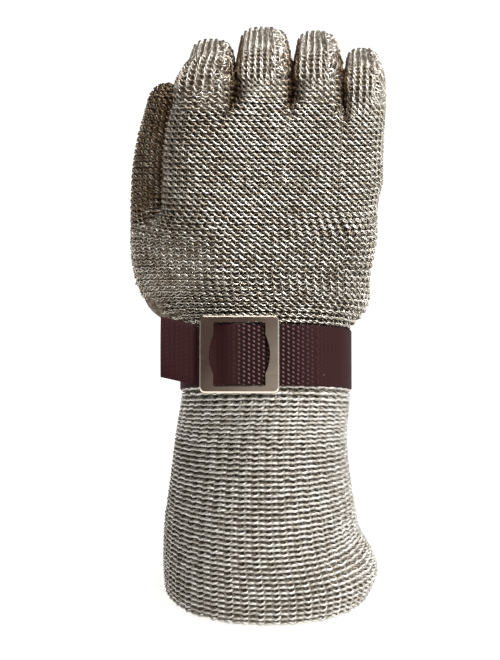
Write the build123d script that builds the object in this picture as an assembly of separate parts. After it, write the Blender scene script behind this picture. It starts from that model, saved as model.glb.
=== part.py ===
from build123d import *
import os
from collections import namedtuple
from math import copysign, cos, pi, radians, sin, tan

os.makedirs("parts", exist_ok=True)

# A right-hand glove of steel ring mesh, stood on its cuff: +Z runs up to the fingers, the back
# of the hand faces -Y and the thumb is at -X. The origin is the middle of the cuff's hem.

# Ring mesh, taken as one skin
SKIN = 1.6
SKIN_GAP = 0.3
OUTLINE_POINTS = 24

# Wrist strap's height, which sets the length of the cuff below it
STRAP_Z = 104.0

# Cuff and hand
HEM_HEIGHT = 4.0
WRIST_Z = STRAP_Z + 8.0
HAND_LEAN = 14.0
HAND_TOP = 70.0
KNUCKLE_U = 74.0
KNUCKLE_GAP = 10.0
KNUCKLE_FRONT = 17.0
KNUCKLE_BACK = 7.0

# Wrist strap: webbing, and the slant of its loop round the wrist
STRAP_SLANT = 27.0
WEB_WIDTH = 25.4
WEB_THICK = 1.2
WEB_CLEAR = 0.8
WAIST_CLEAR = 0.8
WRIST_LEFT = 35.3
WRIST_RIGHT = 34.0
WRIST_DEPTH = 27.0
WRIST_POWER = 2.1
SLEEVE_START = 2.0
SLEEVE_END = 27.0
LAP_X = 21.7
LAP_STEPS = 5
TAIL_LENGTH = 15.6
TAIL_RISE = 3.6

# Buckle: a square frame with a flat bar behind its window
BUCKLE_X = -11.9
FRAME_WIDTH = 33.0
FRAME_RAIL = 2.55
FRAME_THICK = 2.2
FRAME_CORNER = 2.2
FRAME_BEVEL = 0.5
FRAME_YAW = 4.0
FRAME_ROLL = 4.0
WINDOW_WIDTH = 21.7
WINDOW_CLEAR = 0.75
WINDOW_BULGE = 1.9
WINDOW_BULGE_SPAN = 16.0
BAR_WIDTH = 4.0
BAR_THICK = 1.4
POST_HEIGHT = 1.8
PLY_GAP = 0.2

# Stitches
STITCHES = 8
STITCH_LENGTH = 2.0
STITCH_WIDTH = 0.5
STITCH_HEIGHT = 0.35

# Fingers: bend at rest and the most that each joint closes to
BEND = 74.0
BEND_MOST = 90.0
TIP_BEND = 45.0
TIP_BEND_MOST = 55.0
FINGER_V = -4.5
FINGER_POWER = 2.3
KNUCKLE_POWER = 4.0
TAPER = 0.8

Finger = namedtuple("Finger", "name base_left base_right x half depth bend_u middle tip")
FINGERS = (
    Finger("index", -43.3, -20.0, -24.0, 9.6, 9.5, 111.5, 25.5, 22.0),
    Finger("long", -20.0, 6.8, -1.8, 11.0, 10.0, 115.0, 27.5, 23.0),
    Finger("ring", 6.8, 29.6, 21.3, 9.6, 9.5, 115.0, 26.0, 22.5),
    Finger("little", 29.6, 50.0, 40.5, 8.1, 8.5, 109.5, 22.5, 20.0),
)

# Thumb: its path from inside the hand to its tip, in the hand's frame
THUMB_HEEL = Vector(-31.0, 7.0, 11.5)
THUMB_ROOT = Vector(-37.0, 10.0, 18.0)
THUMB_BALL = Vector(-43.5, 15.0, 33.0)
THUMB_BASE = Vector(-46.5, 22.0, 50.0)
THUMB_BEND = Vector(-47.5, 25.0, 79.0)
THUMB_END = Vector(-46.5, 27.0, 107.0)
THUMB_BASE_GAP = 4.3
THUMB_BEND_GAP = 5.2

HAND = Plane(
    origin=(0, 0, WRIST_Z),
    x_dir=(1, 0, 0),
    z_dir=(0, sin(radians(HAND_LEAN)), cos(radians(HAND_LEAN))),
)
STRAP = Plane(
    origin=(0, 0, STRAP_Z),
    x_dir=(1, 0, 0),
    z_dir=(0, sin(radians(STRAP_SLANT)), cos(radians(STRAP_SLANT))),
)


# ---------------------------------------------------------------- shared shapes


def outline(left, right, front, back, power, inset=0.0):
    """A flattened oval on XY, from x = left to right and y = -front to back."""
    half = (right - left) / 2 - inset
    points = []
    for i in range(OUTLINE_POINTS):
        angle = 2 * pi * i / OUTLINE_POINTS
        depth = (back if sin(angle) > 0 else front) - inset
        across = copysign(abs(cos(angle)) ** (2 / power), cos(angle))
        along = copysign(abs(sin(angle)) ** (2 / power), sin(angle))
        points.append(((left + right) / 2 + half * across, depth * along))
    return make_face(Spline(*points, periodic=True))


def skin(stations, ruled=False):
    """A hollow loft, open at both ends, through (plane, outline arguments) stations."""
    outer = loft([plane * outline(*shape) for plane, shape in stations], ruled=ruled)
    inner = loft([plane * outline(*shape, inset=SKIN) for plane, shape in stations], ruled=ruled)
    return outer - inner


def shifted(plane, distance):
    """The same plane, moved along its normal."""
    return Plane(plane.origin + plane.z_dir * distance, plane.x_dir, plane.z_dir)


def above(part, plane):
    return split(part, bisect_by=plane, keep=Keep.TOP)


def below(part, plane):
    return split(part, bisect_by=plane, keep=Keep.BOTTOM)


def slanted(y, z, slant):
    """A cross-section plane through (0, y, z) whose back edge is turned down by slant."""
    return Plane(
        origin=(0, y, z),
        x_dir=(1, 0, 0),
        z_dir=(0, sin(radians(slant)), cos(radians(slant))),
    )


def on_hand(u, slant):
    """The same, with its middle on the hand's axis at height u."""
    middle = HAND.from_local_coords((0, 0, u))
    return slanted(middle.Y, middle.Z, slant)


def on_strap(offset):
    """A plane side by side with the strap's loop, offset up from its middle."""
    middle = STRAP.from_local_coords((0, 0, offset))
    return slanted(middle.Y, middle.Z, STRAP_SLANT)


def save(name, part):
    part.label = name
    export_step(part, f"parts/{name}.step")


# ---------------------------------------------------------------- cuff, wrist and hand


WAIST_HALF = WEB_WIDTH / 2 + WAIST_CLEAR


def sleeve_stations():
    """Cross-sections of the glove's body, from below the hem to past the knuckles."""
    waist = (-WRIST_LEFT, WRIST_RIGHT, WRIST_DEPTH, WRIST_DEPTH, WRIST_POWER)
    return [
        (slanted(0, -HEM_HEIGHT - 2, 0), (-43.2, 43.4, 40, 40, 2.0)),
        (slanted(0, HEM_HEIGHT + 1, 1), (-44.0, 45.2, 40, 40, 2.0)),
        (slanted(0, STRAP_Z * 0.24, 6), (-43.8, 39.5, 37.5, 37.5, 2.0)),
        (slanted(0, STRAP_Z * 0.452, 13), (-41.0, 35.2, 33, 33, 2.0)),
        (slanted(0, STRAP_Z * 0.654, 20), (-38.4, 33.2, 29.5, 29.5, 2.05)),
        (on_strap(-WAIST_HALF), waist),
        (on_strap(0), waist),
        (on_strap(WAIST_HALF), waist),
        (on_strap(WAIST_HALF + 7), (-38.4, 39.0, 26.5, 26, 2.15)),
        (on_hand(28, 25), (-42.0, 42.8, 22.5, 21, 2.3)),
        (on_hand(45, 17), (-43.8, 45.6, 20, 17, 2.6)),
        (on_hand(58, HAND_LEAN), (-44.0, 47.2, 18.7, 13, 2.8)),
        (on_hand(70, HAND_LEAN), (-43.6, 49.4, 17.5, 9, 3.1)),
        (on_hand(78, HAND_LEAN), (-43.6, 49.8, 17.0, 7, 3.3)),
    ]


def hand_solid():
    """The outside of the glove's body as a full solid, for trimming the thumb to it."""
    return loft([plane * outline(*shape) for plane, shape in sleeve_stations()])


body = skin(sleeve_stations())
hem_plane = slanted(0, HEM_HEIGHT, 0)
hem_row = below(above(body, slanted(0, 0, 0)), hem_plane)
cuff = below(above(body, hem_plane), on_strap(SLEEVE_START))
wrist_sleeve = below(above(body, on_strap(SLEEVE_START)), on_strap(SLEEVE_END - SKIN_GAP))
hand = below(above(body, on_strap(SLEEVE_END)), on_hand(HAND_TOP, HAND_LEAN))


# ---------------------------------------------------------------- thumb


def thumb_plane(start, end, distance=0.0):
    """A cross-section of the thumb, this far past start on the way to end."""
    way = (end - start).normalized()
    return Plane(origin=start + way * distance, x_dir=(1, 0, 0), z_dir=way)


def oval(half, depth):
    return (-half, half, depth, depth, FINGER_POWER)


thumb_tube = [
    (Plane(THUMB_HEEL), oval(7.0, 6.0)),
    (Plane(THUMB_ROOT), oval(12.9, 11.5)),
    (thumb_plane(THUMB_BALL, THUMB_BASE), oval(13.0, 12.4)),
    (thumb_plane(THUMB_BASE, THUMB_BALL, THUMB_BASE_GAP).rotated((180, 0, 0)), oval(11.9, 11.4)),
]
hand_bulk = hand_solid()
thumb_hollow = HAND.location * loft([p * outline(*s, inset=SKIN) for p, s in thumb_tube])
thumb_base = (HAND.location * skin(thumb_tube)) - hand_bulk
hand = hand - thumb_hollow

proximal_length = (THUMB_BEND - THUMB_BASE).length
thumb_web = [
    (thumb_plane(THUMB_BASE, THUMB_BALL, THUMB_BASE_GAP).rotated((180, 0, 0)), oval(11.9, 11.4)),
    (thumb_plane(THUMB_BASE, THUMB_BEND, THUMB_BASE_GAP - SKIN_GAP), oval(11.5, 11.0)),
]
thumb_lower = [
    (thumb_plane(THUMB_BASE, THUMB_BEND, THUMB_BASE_GAP), oval(11.5, 11.0)),
    (thumb_plane(THUMB_BASE, THUMB_BEND, proximal_length - THUMB_BEND_GAP), oval(10.5, 10.2)),
]
thumb_crease = [
    (
        thumb_plane(THUMB_BASE, THUMB_BEND, proximal_length - THUMB_BEND_GAP + SKIN_GAP / 2),
        oval(10.5, 10.2),
    ),
    (thumb_plane(THUMB_BEND, THUMB_END, THUMB_BEND_GAP - SKIN_GAP), oval(10.3, 9.8)),
]


def fingertip(plane, start, length, half, depth):
    """A skin from start along the plane's normal, closed by a dome at its full length."""

    def body_of(inset):
        dome = half - inset
        straight = length - inset - dome
        side = outline(-half, half, depth, depth, FINGER_POWER, inset)
        faces = []
        for angle in (0, 25, 48, 66, 80):
            at = shifted(plane, straight + dome * sin(radians(angle)))
            share = cos(radians(angle))
            across = dome * share
            deep = (depth - inset) * share
            faces.append(at * outline(-across, across, deep, deep, FINGER_POWER))
        barrel = extrude(shifted(plane, start) * side, amount=straight - start)
        return barrel + loft(faces)

    return body_of(0.0) - body_of(SKIN)


def finish_thumb():
    tip_plane = thumb_plane(THUMB_BEND, THUMB_END)
    length = (THUMB_END - THUMB_BEND).length
    return {
        "thumb_web": skin(thumb_web),
        "thumb_lower": skin(thumb_lower),
        "thumb_crease": skin(thumb_crease),
        "thumb_tip": fingertip(tip_plane, THUMB_BEND_GAP, length, 10.3, 9.8),
    }


# ---------------------------------------------------------------- fingers


def joint_gap(depth, most):
    """How far from a joint its two tubes stop, so that they clear when it closes fully."""
    return (depth + 0.6) * tan(radians(most / 2)) + SKIN_GAP


def turned(origin, angle):
    """A frame whose Z runs along a finger that is bent by angle towards the palm."""
    way = (0, sin(radians(angle)), cos(radians(angle)))
    return Plane(origin=origin, x_dir=(1, 0, 0), z_dir=way)


def elbow(start_plane, gap, angle, half, depth):
    """Mesh round a bent joint: a straight stub, an arc and another stub, as one skin."""
    radius = depth + 0.6
    stub = gap - radius * tan(radians(angle / 2))
    ring = outline(*oval(half, depth)) - outline(*oval(half, depth), inset=SKIN)
    first = extrude(start_plane * ring, amount=stub)
    bend_plane = shifted(start_plane, stub)
    centre = bend_plane.origin + bend_plane.y_dir * radius
    arc = revolve(
        bend_plane * ring,
        axis=Axis(centre, (-1, 0, 0)),
        revolution_arc=angle,
    )
    end_way = start_plane.z_dir.rotate(Axis.X, -angle)
    end_at = bend_plane.origin - centre
    end_at = centre + end_at.rotate(Axis.X, -angle)
    last_plane = Plane(end_at, (1, 0, 0), end_way)
    last = extrude(last_plane * ring, amount=stub)
    return first + arc + last


def base_outline(finger, share):
    """A finger's cross-section between its knuckle, share 0, and its bend, share 1."""

    def mix(base, bend):
        return base + (bend - base) * share**2

    left = mix(finger.base_left + SKIN_GAP, finger.x - finger.half)
    right = mix(finger.base_right - SKIN_GAP, finger.x + finger.half)
    front = mix(KNUCKLE_FRONT + FINGER_V, finger.depth)
    back = mix(KNUCKLE_BACK - FINGER_V, finger.depth)
    return (left, right, front, back, mix(KNUCKLE_POWER, FINGER_POWER))


def finger_parts(finger):
    """The six pieces of one finger, in the hand's frame, by name."""
    gap = joint_gap(finger.depth, BEND_MOST)
    tip_half = finger.half - TAPER
    tip_depth = finger.depth - TAPER
    tip_gap = joint_gap(tip_depth, TIP_BEND_MOST)
    top = finger.bend_u - gap

    def level(u):
        share = (u - KNUCKLE_U) / (top - KNUCKLE_U)
        return Plane(origin=(0, FINGER_V, u)), base_outline(finger, max(0.0, share))

    first = KNUCKLE_U + KNUCKLE_GAP
    knuckle = skin([level(HAND_TOP + SKIN_GAP), level(KNUCKLE_U), level(first - SKIN_GAP)], True)
    lower = skin([level(first), level((first + top) / 2), level(top)])

    bend = (finger.x, FINGER_V, finger.bend_u)
    start = Plane(origin=(finger.x, FINGER_V, top + SKIN_GAP / 2))
    crease = elbow(start, gap - SKIN_GAP, BEND, finger.half, finger.depth)

    middle_frame = turned(bend, BEND)
    middle = skin(
        [
            (shifted(middle_frame, gap), oval(finger.half, finger.depth)),
            (shifted(middle_frame, finger.middle - tip_gap), oval(tip_half, tip_depth)),
        ]
    )
    tip_frame = turned(shifted(middle_frame, finger.middle).origin, BEND + TIP_BEND)
    tip_start = shifted(middle_frame, finger.middle - tip_gap + SKIN_GAP / 2)
    tip_crease = elbow(tip_start, tip_gap - SKIN_GAP, TIP_BEND, tip_half, tip_depth)
    tip = fingertip(tip_frame, tip_gap, finger.tip, tip_half, tip_depth)
    return {
        f"{finger.name}_knuckle": knuckle,
        f"{finger.name}_lower": lower,
        f"{finger.name}_crease": crease,
        f"{finger.name}_middle": middle,
        f"{finger.name}_tip_crease": tip_crease,
        f"{finger.name}_tip": tip,
    }


# ---------------------------------------------------------------- strap, in the strap's frame


def wrist_front(x, offset):
    """The y of the wrist's front at x, this far out from the mesh."""
    half = (WRIST_LEFT + WRIST_RIGHT) / 2 + offset
    middle = (WRIST_RIGHT - WRIST_LEFT) / 2
    reach = 1 - abs((x - middle) / half) ** WRIST_POWER
    return -(WRIST_DEPTH + offset) * reach ** (1 / WRIST_POWER)


def band(path, samples=60):
    """Webbing seen edge-on: a face of the webbing's thickness along a path on XY."""
    left = []
    right = []
    for i in range(samples + 1):
        at = path.position_at(i / samples)
        way = path.tangent_at(i / samples)
        side = Vector(-way.Y, way.X) * (WEB_THICK / 2)
        left.append(at + side)
        right.append(at - side)
    edges = [
        Spline(*left),
        Line(left[-1], right[-1]),
        Spline(*reversed(right)),
        Line(right[0], left[0]),
    ]
    return make_face(edges)


def woven(face):
    return extrude(face, amount=WEB_WIDTH / 2, both=True)


LOOP_OFFSET = WEB_CLEAR + WEB_THICK / 2
# The plies at the bar, from the wrist out: loop, bar, folded loop end, strap run
LOOP_Y = wrist_front(BUCKLE_X, 0) - 2.0 - WEB_THICK / 2
BAR_Y = LOOP_Y - WEB_THICK / 2 - PLY_GAP - BAR_THICK / 2
FOLD_Y = BAR_Y - BAR_THICK / 2 - PLY_GAP - WEB_THICK / 2
RUN_Y = FOLD_Y - PLY_GAP - WEB_THICK
FRAME_Y = RUN_Y - WEB_THICK / 2 + FRAME_THICK / 2


def strap_loop():
    """The wrist loop: round the wrist, then in under the bar and folded back over it."""
    outer = outline(
        -WRIST_LEFT, WRIST_RIGHT, WRIST_DEPTH, WRIST_DEPTH, WRIST_POWER, -WEB_CLEAR - WEB_THICK
    )
    inner = outline(
        -WRIST_LEFT, WRIST_RIGHT, WRIST_DEPTH, WRIST_DEPTH, WRIST_POWER, -WEB_CLEAR
    )
    leave_x = BUCKLE_X - 9.6
    join_x = BUCKLE_X + FRAME_WIDTH / 2 - 2
    window = Pos((leave_x + join_x) / 2, -WRIST_DEPTH) * Rectangle(join_x - leave_x, WRIST_DEPTH)
    turn = (LOOP_Y - FOLD_Y) / 2
    turn_x = BUCKLE_X + BAR_WIDTH / 2
    lead = Spline(
        (leave_x - 0.02, wrist_front(leave_x, LOOP_OFFSET)),
        (BUCKLE_X - 4.5, LOOP_Y + 0.9),
        (turn_x, LOOP_Y),
        tangents=((1, -0.45), (1, 0)),
    )
    fold = Spline(
        (turn_x, FOLD_Y),
        (BUCKLE_X - 2.4, FOLD_Y + 0.15),
        (BUCKLE_X - 5.6, FOLD_Y + 2.4),
        (BUCKLE_X - 9.0, FOLD_Y + 4.6),
        tangents=((-1, 0), (-1, 0.8)),
    )
    rings = Circle(turn + WEB_THICK / 2) - Circle(turn - WEB_THICK / 2)
    rings &= Pos(turn, 0) * Rectangle(2 * turn, 4 * turn)
    rings = Pos(turn_x, (LOOP_Y + FOLD_Y) / 2) * rings
    loop = woven(outer - inner - window)
    return loop + woven(band(lead)) + woven(rings) + woven(band(fold)), fold


def strap_run():
    """The adjusting webbing: lapped on the loop's end, over the bar, under the frame."""
    on_loop = WEB_CLEAR + WEB_THICK + PLY_GAP + WEB_THICK / 2
    half = FRAME_WIDTH / 2
    lap = []
    for i in range(LAP_STEPS + 1):
        x = LAP_X + (BUCKLE_X + half - LAP_X) * i / LAP_STEPS
        lap.append((x, wrist_front(x, on_loop)))
    path = Spline(
        *lap,
        (BUCKLE_X + WINDOW_WIDTH / 2, RUN_Y + 2.1),
        (BUCKLE_X + 6, RUN_Y + 0.7),
        (BUCKLE_X, RUN_Y),
        (BUCKLE_X - 5, RUN_Y + 0.9),
        (BUCKLE_X - WINDOW_WIDTH / 2 + 1, RUN_Y + 3.7),
        (BUCKLE_X - half + 1, TAIL_Y + 0.05),
        (TAIL_X + TAIL_SPLIT, TAIL_Y),
    )
    return woven(band(path)), path


TAIL_SPLIT = 0.45
TAIL_X = BUCKLE_X - FRAME_WIDTH / 2 - 0.8
TAIL_Y = RUN_Y + 4.0


def strap_tail():
    """The free end past the buckle, rising a little and cut square."""
    half = WEB_WIDTH / 2
    end = -TAIL_LENGTH
    shape = Polyline(
        (-TAIL_SPLIT, -half),
        (-TAIL_SPLIT, half),
        (end, half + TAIL_RISE),
        (end, TAIL_RISE - half),
        close=True,
    )
    side_on = Plane(
        origin=(TAIL_X, TAIL_Y, 0),
        x_dir=(cos(radians(FRAME_YAW)), -sin(radians(FRAME_YAW)), 0),
        z_dir=(-sin(radians(FRAME_YAW)), -cos(radians(FRAME_YAW)), 0),
    )
    return extrude(side_on * make_face(shape), amount=WEB_THICK / 2, both=True)


def stitch_row(path, share):
    """Thread bars side by side over the webbing's outer face, at a share of its path."""
    at = path.position_at(share)
    way = path.tangent_at(share)
    out = Vector(-way.Y, way.X)
    out = out if out.Y < 0 else out * -1
    pitch = WEB_WIDTH / STITCHES
    stitches = []
    for i in range(STITCHES):
        along = (i - (STITCHES - 1) / 2) * pitch
        middle = at + out * (WEB_THICK / 2 + STITCH_HEIGHT / 2 + 0.06) + Vector(0, 0, along)
        place = Plane(origin=middle, x_dir=(0, 0, 1), z_dir=out)
        bar = Box(STITCH_LENGTH, STITCH_WIDTH, STITCH_HEIGHT)
        stitches.append(place.location * bar)
    return Compound(children=stitches)


BUCKLE = Plane(
    origin=(BUCKLE_X, FRAME_Y, 0),
    x_dir=(cos(radians(FRAME_YAW)), -sin(radians(FRAME_YAW)), 0),
    z_dir=(-sin(radians(FRAME_YAW)), -cos(radians(FRAME_YAW)), 0),
).rotated((0, 0, FRAME_ROLL))
WINDOW_HEIGHT = WEB_WIDTH + 2 * WINDOW_CLEAR
FRAME_HEIGHT = WINDOW_HEIGHT + 2 * FRAME_RAIL


def buckle_frame():
    """A square stamped frame whose window is bowed out at both sides."""
    plate = RectangleRounded(FRAME_WIDTH, FRAME_HEIGHT, FRAME_CORNER)
    window = RectangleRounded(WINDOW_WIDTH, WINDOW_HEIGHT, 1.0)
    radius = (WINDOW_BULGE_SPAN**2 / 4 + WINDOW_BULGE**2) / (2 * WINDOW_BULGE)
    for side in (-1, 1):
        centre = side * (WINDOW_WIDTH / 2 + WINDOW_BULGE - radius)
        window += Pos(centre, 0) * Circle(radius) & Pos(
            side * (WINDOW_WIDTH / 2 + WINDOW_BULGE / 2 - 1)
        ) * Rectangle(WINDOW_BULGE + 2, WINDOW_BULGE_SPAN)
    frame = extrude(plate - window, amount=FRAME_THICK / 2, both=True)
    rim = frame.faces().sort_by(Axis.Z)[-1].outer_wire().edges()
    return BUCKLE.location * chamfer(rim, FRAME_BEVEL)


def buckle_bar():
    """A flat bar behind the window, with a post at each end up to the frame."""
    sink = FRAME_Y - BAR_Y
    low = sink - BAR_THICK / 2
    post_y = WINDOW_HEIGHT / 2 + 0.25 + POST_HEIGHT / 2
    length = 2 * post_y + POST_HEIGHT
    bar = Pos(0, 0, sink) * Box(BAR_WIDTH, length, BAR_THICK)
    tall = -FRAME_THICK / 2 - low
    for side in (-1, 1):
        bar += Pos(0, side * post_y, low + tall / 2) * Box(BAR_WIDTH, POST_HEIGHT, tall)
    return BUCKLE.location * bar


# ---------------------------------------------------------------- every piece, placed

side_seam = Plane.XZ
hand_seam = Plane(origin=HAND.from_local_coords((0, FINGER_V, 0)), z_dir=HAND.y_dir)
save("cuff_hem", hem_row)
save("cuff_back", above(cuff, side_seam))
save("cuff_palm", below(cuff, side_seam))
save("wrist_sleeve", wrist_sleeve)
save("hand_back", below(hand, hand_seam))
save("hand_palm", above(hand, hand_seam))
save("thumb_base", thumb_base)
for name, part in finish_thumb().items():
    save(name, HAND.location * part)
for finger in FINGERS:
    for name, part in finger_parts(finger).items():
        save(name, HAND.location * part)

loop, fold_path = strap_loop()
run, run_path = strap_run()
save("strap_loop", STRAP.location * loop)
save("strap_run", STRAP.location * run)
save("strap_tail", STRAP.location * strap_tail())
save("lap_stitches", STRAP.location * stitch_row(run_path, 0.03))
save("fold_stitches", STRAP.location * stitch_row(fold_path, 0.88))
save("buckle_frame", STRAP.location * buckle_frame())
save("buckle_bar", STRAP.location * buckle_bar())
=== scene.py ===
from math import cos, pi, radians, sin, tan
import bpy
import numpy as np
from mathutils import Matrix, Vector


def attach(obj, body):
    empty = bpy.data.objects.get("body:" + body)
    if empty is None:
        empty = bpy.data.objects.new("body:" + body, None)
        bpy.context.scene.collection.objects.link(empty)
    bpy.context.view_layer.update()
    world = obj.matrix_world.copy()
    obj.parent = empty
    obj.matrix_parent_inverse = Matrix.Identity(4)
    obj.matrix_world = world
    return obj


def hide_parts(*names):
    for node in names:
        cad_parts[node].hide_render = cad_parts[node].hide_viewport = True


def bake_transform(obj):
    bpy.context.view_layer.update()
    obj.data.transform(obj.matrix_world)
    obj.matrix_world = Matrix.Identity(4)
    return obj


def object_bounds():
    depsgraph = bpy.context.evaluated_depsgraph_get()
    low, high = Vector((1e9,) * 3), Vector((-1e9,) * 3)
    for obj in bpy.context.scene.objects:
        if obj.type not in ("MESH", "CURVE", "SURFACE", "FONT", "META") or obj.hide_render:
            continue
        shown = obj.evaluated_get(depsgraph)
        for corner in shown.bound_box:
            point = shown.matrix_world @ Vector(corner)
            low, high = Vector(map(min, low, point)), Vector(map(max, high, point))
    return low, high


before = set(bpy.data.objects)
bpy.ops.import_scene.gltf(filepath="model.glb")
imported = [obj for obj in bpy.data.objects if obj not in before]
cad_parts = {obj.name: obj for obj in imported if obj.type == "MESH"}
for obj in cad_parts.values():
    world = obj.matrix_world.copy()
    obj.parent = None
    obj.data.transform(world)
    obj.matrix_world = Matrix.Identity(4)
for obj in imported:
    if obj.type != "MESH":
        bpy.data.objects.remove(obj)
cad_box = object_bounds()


# ---- Camera
# A long portrait lens a metre in front of the back of the hand, 22 degrees above the level, so
# that the buckle faces it and the bent fingers run away from it.
CAMERA_TILT = radians(22)
CAMERA_DISTANCE = 1.031
low, high = cad_box
# aimed a little left of the middle, at the back of the hand, just above half the height
aim = Vector(((low[0] + high[0]) / 2 - 0.0033, -0.020, low[2] + (high[2] - low[2]) * 0.536))
bpy.ops.object.camera_add(
    location=aim + Vector((0, -cos(CAMERA_TILT), sin(CAMERA_TILT))) * CAMERA_DISTANCE,
    rotation=(pi / 2 - CAMERA_TILT, 0, 0),
)
bpy.context.object.name = "camera"
bpy.context.object.data.lens = 135
bpy.context.scene.camera = bpy.context.object
bpy.context.scene.view_settings.view_transform = "Standard"


# ---- Floor and light
# A pale table lit a little from below, in a room that is white at the right and brown and dim
# at the left. A softbox stands high at the right in front of the glove; another hangs over it.
TABLE_SIZE = 14
# the rings at the hem hang a little lower than the frame's own box
TABLE_DROP = 0.0042


def colour(code):
    """The linear colour of a six-figure code."""
    parts = [int(code[i:i + 2], 16) / 255 for i in (1, 3, 5)]
    linear = [p / 12.92 if p <= 0.04045 else ((p + 0.055) / 1.055) ** 2.4 for p in parts]
    return (*linear, 1)


def new_material(name, roughness, metallic=0.0):
    material = bpy.data.materials.new(name)
    material.use_nodes = True
    shader = material.node_tree.nodes["Principled BSDF"]
    shader.inputs["Roughness"].default_value = roughness
    shader.inputs["Metallic"].default_value = metallic
    return material, shader


def add_node(material, kind, inputs=(), stops=(), **settings):
    """A node whose named inputs take a value or another node's socket.

    A ramp also takes its stops from low to high, each a place and a colour.
    """
    node = material.node_tree.nodes.new("ShaderNode" + kind)
    for i, (place, code) in enumerate(stops):
        ramp = node.color_ramp.elements
        stop = ramp[i] if i < 2 else ramp.new(place)
        stop.position = place
        stop.color = colour(code)
    for name, value in settings.items():
        setattr(node, name, value)
    for name, value in dict(inputs).items():
        if isinstance(value, bpy.types.NodeSocket):
            material.node_tree.links.new(value, node.inputs[name])
        else:
            node.inputs[name].default_value = value
    return node


light_table, shader = new_material("lit_acrylic_table", 0.9)
# the table glows a little from below, which whitens the ground and lifts the cuff
shader.inputs["Base Color"].default_value = colour("#8c8b89")
shader.inputs["Emission Color"].default_value = colour("#fbfaf8")
shader.inputs["Emission Strength"].default_value = 0.95
bpy.ops.mesh.primitive_plane_add(size=TABLE_SIZE, location=(0, 0, low[2] - TABLE_DROP))
table = bpy.context.object
table.name = "table"
table.data.materials.append(light_table)

room = bpy.data.worlds.new("room")
room.use_nodes = True
backdrop = room.node_tree.nodes["Background"]
facing = add_node(room, "TexCoord")
sides = add_node(room, "SeparateXYZ", {"Vector": facing.outputs["Generated"]})
turned = add_node(room, "MapRange", {"Value": sides.outputs["X"], "From Min": -1.0})
walls = add_node(room, "ValToRGB", {"Fac": turned.outputs["Result"]}, stops=(
    (0, "#33200f"), (0.3, "#60492f"), (0.5, "#86827d"), (1, "#eef0f2"),
))
# seen straight on, the room is as pale as the table
eye = add_node(room, "LightPath")
pale_room = add_node(room, "MixRGB", {
    "Fac": eye.outputs["Is Camera Ray"], "Color1": walls.outputs["Color"], "Color2": (2.0, 2.0, 2.0, 1),
})
room.node_tree.links.new(pale_room.outputs["Color"], backdrop.inputs["Color"])
backdrop.inputs["Strength"].default_value = 0.42
bpy.context.scene.world = room


def softbox(name, place, size, power, tint):
    """A square softbox at a place relative to the wrist, turned to face it."""
    centre = Vector((0, 0, (low[2] + high[2]) / 2))
    bpy.ops.object.light_add(type="AREA", location=centre + Vector(place))
    lamp = bpy.context.object
    lamp.name = name
    lamp.rotation_euler = Vector(place).to_track_quat("Z", "Y").to_euler()
    lamp.data.size = size
    lamp.data.energy = power
    lamp.data.color = colour(tint)[:3]


softbox("key_softbox", (0.9, -1.0, 1.1), 0.6, 31, "#fffcf8")
softbox("top_softbox", (0.2, 0.1, 1.3), 0.8, 19, "#ffffff")


# ---- Welded ring
# The mesh is stainless rings, each bent from wire, welded shut and holding four others; tumbling
# leaves them satin. A ring of about 4 mm in 0.55 mm wire is drawn a little larger, 4.5 mm across
# in 0.6 mm wire, so that it shows.
RING_RADIUS = 1.95
RING_WIRE = 0.30
# a thin torus is split into its middle circle and its skin, so that it can take any wire
TORUS_WIRE = 0.1
bpy.ops.mesh.primitive_torus_add(
    major_segments=8, minor_segments=4, major_radius=1.0, minor_radius=TORUS_WIRE
)
ring = bpy.context.object
torus = np.array([v.co for v in ring.data.vertices])
torus_middle = torus * (1, 1, 0)
torus_middle = torus_middle / np.linalg.norm(torus_middle, axis=1, keepdims=True)
torus_skin = (torus - torus_middle) / TORUS_WIRE
ring_faces = np.array([p.vertices for p in ring.data.polygons])
bpy.data.objects.remove(ring, do_unlink=True)


def ring_metal(name, roughness, shade_brown, dimmed, worn, bare):
    """Steel whose rings differ a little: pale where rubbed, and browned and darkened by painted shade where
    their tone is low.
    """
    metal, shader = new_material(name, roughness, 1.0)
    tone = add_node(metal, "Attribute", attribute_name="tone")
    tones = add_node(metal, "ValToRGB", {"Fac": tone.outputs["Fac"]}, stops=(
        (0, shade_brown), (0.3, dimmed), (0.6, worn), (1, bare),
    ))
    metal.node_tree.links.new(tones.outputs["Color"], shader.inputs["Base Color"])
    return metal


# satin rings with small hot glints
ring_steel = ring_metal("tumbled_ring_steel", 0.34, "#35220f", "#85705a", "#bdb5a8", "#f6f3ec")

mesh_shade, shader = new_material("shade_between_rings", 0.85)
# painted shade between the rings: a dark sheet under them, with the far rows just showing in it
in_mesh = add_node(mesh_shade, "TexCoord")
far_rows = add_node(mesh_shade, "TexNoise", {"Vector": in_mesh.outputs["Object"], "Scale": 500.0})
seen = {"Fac": far_rows.outputs["Fac"]}
depths = add_node(mesh_shade, "ValToRGB", seen, stops=((0.4, "#0d0a05"), (0.7, "#2c2013")))
lit_rows = add_node(mesh_shade, "ValToRGB", seen, stops=((0.35, "#665546"), (0.65, "#b5a798")))
# painted light: where the mesh hangs slack, light gets in among the rows and the painted shade is paler
light_let_in = add_node(mesh_shade, "Attribute", attribute_name="shade_light")
shaded = add_node(mesh_shade, "MixRGB", {
    "Fac": light_let_in.outputs["Fac"], "Color1": depths.outputs["Color"], "Color2": lit_rows.outputs["Color"],
})
mesh_shade.node_tree.links.new(shaded.outputs["Color"], shader.inputs["Base Color"])

# every ring's own tilt, in degrees, and shade of steel are drawn from here, piece after piece
chance = np.random.default_rng(7)
RING_WOBBLE = 4.0


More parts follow.
